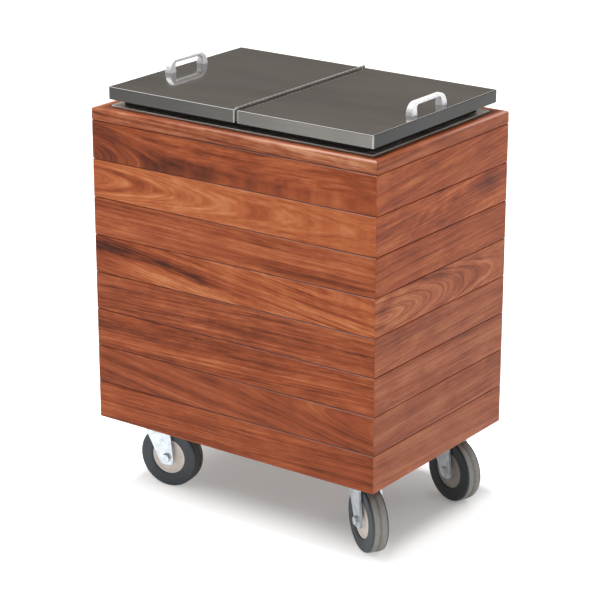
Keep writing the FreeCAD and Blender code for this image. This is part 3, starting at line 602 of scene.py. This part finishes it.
def makeMoulding(look):
    material, tree, shader = newMaterial(look["name"])
    place = addNode(tree, "TexCoord").outputs["Object"]
    wearAndPaintedLight = addNode(tree, "Attribute", attribute_name="wear").outputs["Color"]
    wearAndPaintedLight = addNode(tree, "SeparateColor", {"Color": wearAndPaintedLight}).outputs
    noise = addNode(tree, "TexNoise", {"Vector": place, "Scale": look["cells"], "Detail": look["detail"],
                                       "Roughness": look["coarseness"]}).outputs["Fac"]
    swing = look["swing"]
    share = addNode(tree, "Math", {0: noise, 1: swing, 2: -swing / 2}, operation="MULTIPLY_ADD").outputs[0]
    share = addNode(tree, "Math", {0: share, 1: wearAndPaintedLight["Red"]}, operation="ADD", use_clamp=True).outputs[0]
    ramp = addNode(tree, "ValToRGB", {"Fac": share})
    fillRamp(ramp.color_ramp, look["ramp"])
    wires = {"Factor": wearAndPaintedLight["Green"], 6: ramp.outputs[0], 7: linear(look["soilAndShade"])}
    darkened = addNode(tree, "Mix", wires, data_type="RGBA")
    tree.links.new(darkened.outputs[2], shader.inputs["Base Color"])
    gain, least = look["roughness"]
    source = {"wear": share, "noise": noise}[look["roughBy"]]
    rough = addNode(tree, "Math", {0: source, 1: gain, 2: least}, operation="MULTIPLY_ADD")
    tree.links.new(rough.outputs[0], shader.inputs["Roughness"])
    strength, height = look["relief"]
    relief = addNode(tree, "Bump", {"Strength": strength, "Distance": height, "Height": noise})
    tree.links.new(relief.outputs[0], shader.inputs["Normal"])
    return material


wheel = {
    "around": 96, "sharpAngle": 50,
    "radius": 0.069, "halfWidth": 0.018, "bead": 0.03905, "shoulder": 0.005, "shoulderSteps": 9,
    "ribCrown": 0.0004, "ribSteps": 17, "middle": 0.0004,  # the tread's last row, this far from its middle
    "valleyHalf": 0.0027, "valleyDepth": 0.0016,
    # rows of the tyre's flank, from the bead: axial, and radius above the bead
    "flank": [(0.015, 0.0), (0.0162, 0.0006), (0.0174, 0.0022), (0.018, 0.004), (0.018, 0.010)],
    # wear of the flank and the tread, how much less in the valley, where the shoulder's rise would start,
    # and the wear from which a row counts as tread
    "flankWear": 0.12, "treadWear": 0.9, "valleyWear": 0.25, "shoulderWear": -3.0, "treadFrom": 0.2,
    # rows of the hub from its bore over boss and web to the rim: axial, radius, wear
    "hub": [
        (0.020, 0.00505, 0.9), (0.020, 0.0118, 0.9), (0.019, 0.013, 0.8), (0.0155, 0.0136, 0.3),
        (0.0139, 0.0154, 0.3), (0.0135, 0.018, 0.45), (0.0132, 0.028, 0.5), (0.0135, 0.0345, 0.45),
        (0.0143, 0.0355, 0.4), (0.015, 0.0363, 0.8), (0.015, 0.039, 0.7),
    ],
    # share of soot and grease on the flanks and the hub, then on the tread; on the front left tread and the rear right
    # wheel it is painted shade of the box above
    "soilAndShade": {"front_left": (0.0, 0.7), "front_right": (0.0, 0.0), "rear_right": (0.6, 0.0), "rear_left": (0.2, 0.3)},
}


# A turned ring: each (axial, radius) row of the closed profile goes round the axle at even steps.
def turnedRing(profile, centre, axle, steps):
    up = np.array([0.0, 0.0, 1.0])
    side = np.cross(axle, up)
    a = np.linspace(0, 2 * math.pi, steps, endpoint=False)
    spoke = np.cos(a)[:, None] * up + np.sin(a)[:, None] * side
    points = centre + profile[None, :, :1] * axle + profile[None, :, 1:] * spoke[:, None, :]
    return points.reshape(-1, 3), tubeFaces(len(profile), steps, looped=True)


# Half a tyre's profile: the flank's rows, a quarter arc for the shoulder, then the tread, which is a low
# sine arch less a soft bell-shaped valley round the middle.
def tyreRows():
    w = wheel
    a = np.radians(np.linspace(0, 90, w["shoulderSteps"]))
    s, start, rib = w["shoulder"], w["halfWidth"] - w["shoulder"], w["radius"] - w["ribCrown"]
    flank = np.array(w["flank"]) + [0, w["bead"]]
    shoulder = np.stack([start + s * np.cos(a), rib - s + s * np.sin(a)], axis=1)
    y = np.linspace(start, w["middle"], w["ribSteps"])[1:]
    arch = w["ribCrown"] * np.sin(np.linspace(0, math.pi, w["ribSteps"])[1:])
    valley = w["valleyDepth"] * np.exp(-((y / w["valleyHalf"]) ** 2))
    tread = np.stack([y, rib + arch - valley], axis=1)
    rise = np.linspace(w["shoulderWear"], w["treadWear"], len(shoulder))
    wear = np.concatenate([np.full(len(flank), w["flankWear"]), np.clip(rise, w["flankWear"], w["treadWear"]),
                           w["treadWear"] - w["valleyWear"] * valley / w["valleyDepth"]])
    return np.concatenate([flank, shoulder, tread]), wear


# Each wheel's tyre and hub: half a profile and its mirror image, turned round the wheel's own axle.
def makeWheels():
    hub = np.array(wheel["hub"])
    kinds = (("tyre", tyreRows(), "grey_rubber"), ("hub", (hub[:, :2], hub[:, 2]), "hub_plastic"))
    looks = {label: makeMoulding(mouldings[label]) for label, _, _ in kinds}
    for corner, (flank, tread) in wheel["soilAndShade"].items():
        joint = joints[corner + "_roll"]
        centre, axle = np.array(joint["pos_m"]), np.array(joint["axis"])
        for label, (half, halfWear), slot in kinds:
            profile = np.concatenate([half, half[::-1] * [-1, 1]])
            wear = np.concatenate([halfWear, halfWear[::-1]])
            soilAndShade = np.where((label == "tyre") & (wear > wheel["treadFrom"]), tread, flank)
            look = np.stack([wear, soilAndShade, 0 * wear, 0 * wear + 1], axis=1)
            values = {"wear": np.tile(look, (wheel["around"], 1))}
            points, faces = turnedRing(profile, centre, axle, wheel["around"])
            addPiece(corner + "_" + label + "_turned", points, faces, looks[label], corner + "_wheel",
                     [corner + "_" + label], values, wheel["sharpAngle"])
    print("wheels: tyres and hubs turned")


makeWheels()

# Studio: a wide white floor under a broad overhead light, with three soft boxes that draw the edges.
studio = {
    "floor": 60.0, "floorColours": ("#f2f2f2", "#f6f6f6"), "floorRoughness": 0.9, "floorSpecular": 0.1,
    "floorCells": 2.0, "floorDetail": 2.0,  # cells per metre: faint clouds half a metre wide
    # glow under the cart, what is added close round it, where that starts and is full to the sides, to the front and
    # to the back, where it ends, and the drop towards the right-hand casters; metres from the middle. The weaker glow
    # under the cart paints the edge of its shadow, and the drop paints shade by the right-hand casters
    "floorGlow": 0.24, "ringGlow": 0.38, "ringSides": (0.305, 0.378), "ringFront": (-0.085, -0.23),
    "ringBack": (0.25, 0.36), "ringEnd": (0.5, 0.9), "shadeRight": (0.08, 0.27), "shade": -0.075,
    # colours of the room by the sine of the angle above the horizon
    "sky": [(0.0, "#ffffff"), (0.06, "#ffffff"), (0.13, "#aeaaa6"), (0.215, "#77726c"), (0.27, "#948e87"),
            (0.42, "#8f8a84"), (0.70, "#c2c3c4"), (1.0, "#d2d3d4")],
    "sun": ((-0.14, 0.02, 1.0), 18, 2.7),  # direction towards it, spread in degrees, strength
    "boxes": {  # place, aim, size in metres, watts
        "frontBox": ((-1.75, -1.25, 2.95), (0, 0, 0.6), 1.6, 22),
        "rearBox": ((0.0, 2.5, 2.7), (0, 0, 0.6), 0.9, 6),
        "sideBox": ((3.0, -0.4, 3.4), (0.3, 0, 0.5), 1.2, 12),
    },
}


# a lamp at a place, turned so that it shines at its aim
def hang(name, kind, at, aim, watts, **settings):
    lamp = bpy.data.lights.new(name, kind)
    lamp.energy = watts
    for key, value in settings.items():
        setattr(lamp, key, value)
    stand = bpy.data.objects.new(name, lamp)
    bpy.context.scene.collection.objects.link(stand)
    toLamp = np.array(at, float) - np.array(aim, float)
    stand.location = at
    level = math.hypot(toLamp[0], toLamp[1])
    stand.rotation_euler = (math.atan2(level, toLamp[2]), 0, math.atan2(toLamp[0], -toLamp[1]))


# the floor's glow by place, which paints the edge of the cart's shadow and a patch of shade towards the right: the
# largest of three smooth steps outwards, to the sides, front and back, faded out where the lamps alone make the floor
# white, plus a smooth drop towards the right
def floorLevel(tree, place):
    right, back, _ = addNode(tree, "SeparateXYZ", {"Vector": place}).outputs
    aside = addNode(tree, "Math", {0: right}, operation="ABSOLUTE").outputs[0]
    far = addNode(tree, "VectorMath", {0: place}, operation="LENGTH").outputs["Value"]
    under = studio["floorGlow"]
    steps = {}
    for name, source, first, last in (
            ("ringSides", aside, 0, 1), ("ringFront", back, 0, 1), ("ringBack", back, 0, 1),
            ("ringEnd", far, studio["ringGlow"], 0), ("shadeRight", right, under, under + studio["shade"])):
        start, end = studio[name]
        wires = {0: source, 1: start, 2: end, 3: first, 4: last}
        steps[name] = addNode(tree, "MapRange", wires, interpolation_type="SMOOTHSTEP").outputs[0]
    ring = steps["ringSides"]
    for name in ("ringFront", "ringBack"):
        ring = addNode(tree, "Math", {0: ring, 1: steps[name]}, operation="MAXIMUM").outputs[0]
    wires = {0: ring, 1: steps["ringEnd"], 2: steps["shadeRight"]}
    return addNode(tree, "Math", wires, operation="MULTIPLY_ADD").outputs[0]


# a square floor at height 0, a room that is white at the horizon, and the lamps
def makeStudio():
    half = studio["floor"] / 2
    mesh = bpy.data.meshes.new("studioFloor")
    mesh.from_pydata([(-half, -half, 0), (half, -half, 0), (half, half, 0), (-half, half, 0)], [], [(0, 1, 2, 3)])
    floor = bpy.data.objects.new("studioFloor", mesh)
    bpy.context.scene.collection.objects.link(floor)
    material, tree, shader = newMaterial("white painted floor")
    place = addNode(tree, "TexCoord").outputs["Object"]
    cloud = addNode(tree, "TexNoise", {"Vector": place, "Scale": studio["floorCells"],
                                       "Detail": studio["floorDetail"]})
    ramp = addNode(tree, "ValToRGB", {"Fac": cloud.outputs["Fac"]})
    fillRamp(ramp.color_ramp, list(enumerate(studio["floorColours"])))
    tree.links.new(ramp.outputs[0], shader.inputs["Base Color"])
    shader.inputs["Roughness"].default_value = studio["floorRoughness"]
    shader.inputs["Specular IOR Level"].default_value = studio["floorSpecular"]
    # the glow is for what the eye, mirrors and glass see, so that the paper-white ground stays white
    ray = addNode(tree, "LightPath").outputs
    seen = ray["Is Camera Ray"]
    for kind in ("Is Glossy Ray", "Is Transmission Ray"):
        seen = addNode(tree, "Math", {0: seen, 1: ray[kind]}, operation="MAXIMUM").outputs[0]
    glow = addNode(tree, "Math", {0: seen, 1: floorLevel(tree, place)}, operation="MULTIPLY").outputs[0]
    shader.inputs["Emission Color"].default_value = (1, 1, 1, 1)
    tree.links.new(glow, shader.inputs["Emission Strength"])
    mesh.materials.append(material)

    world = bpy.data.worlds.new("studioRoom")
    bpy.context.scene.world = world
    world.use_nodes = True
    tree = world.node_tree
    height = addNode(tree, "SeparateXYZ", {"Vector": addNode(tree, "TexCoord").outputs["Generated"]}).outputs["Z"]
    ramp = addNode(tree, "ValToRGB", {"Fac": height})
    fillRamp(ramp.color_ramp, studio["sky"])
    tree.links.new(ramp.outputs[0], tree.nodes["Background"].inputs["Color"])
    towards, spread, strength = studio["sun"]
    hang("overheadLight", "SUN", towards, (0, 0, 0), strength, angle=math.radians(spread))
    for name, (at, aim, size, watts) in studio["boxes"].items():
        hang(name, "AREA", at, aim, watts, shape="SQUARE", size=size)
    print("studio:", 1 + len(studio["boxes"]), "lamps")


makeStudio()

# the photograph's viewpoint, solved from the box's and the lids' edges
viewpoint = {"place": (2.66669, -3.67764, 2.00971), "turn": (70.8039, -0.0515, 35.9516), "lens": 136.403,
             "sensor": 36.0, "farEnd": 200.0}
camera = bpy.data.objects.new("photoCamera", bpy.data.cameras.new("photoCamera"))
bpy.context.scene.collection.objects.link(camera)
camera.location = viewpoint["place"]
camera.rotation_euler = [math.radians(v) for v in viewpoint["turn"]]
camera.data.lens = viewpoint["lens"]
camera.data.sensor_width = viewpoint["sensor"]
camera.data.clip_end = viewpoint["farEnd"]
bpy.context.scene.camera = camera
bpy.context.scene.view_settings.view_transform = "Standard"
print("camera: lens", viewpoint["lens"], "mm")
